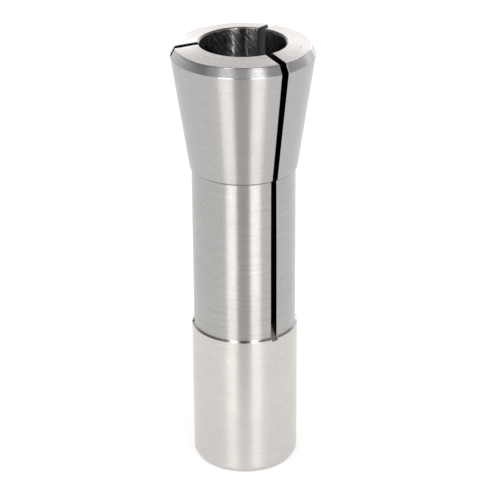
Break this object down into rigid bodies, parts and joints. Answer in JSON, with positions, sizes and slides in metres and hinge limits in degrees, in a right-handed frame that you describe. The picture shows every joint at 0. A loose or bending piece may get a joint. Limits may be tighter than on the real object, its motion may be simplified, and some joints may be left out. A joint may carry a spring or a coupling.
{
  "type": "milling machine collet",
  "caption": "Slit steel spring collet with a steep nose taper, a slim waist, a straight shank and a rear drawbar thread.",
  "frame": {"origin": "centre of the rear end face, on the surface that the collet stands on", "axes": "+Z along the axis from the rear end to the nose; +X through one slit; the key slot faces -X"},
  "size_m": [0.0318, 0.0318, 0.1016],
  "materials": {
    "ground_steel": "ground satin"
  },
  "bodies": {
    "root": {"collet": "ground_steel"}
  },
  "joints": []
}
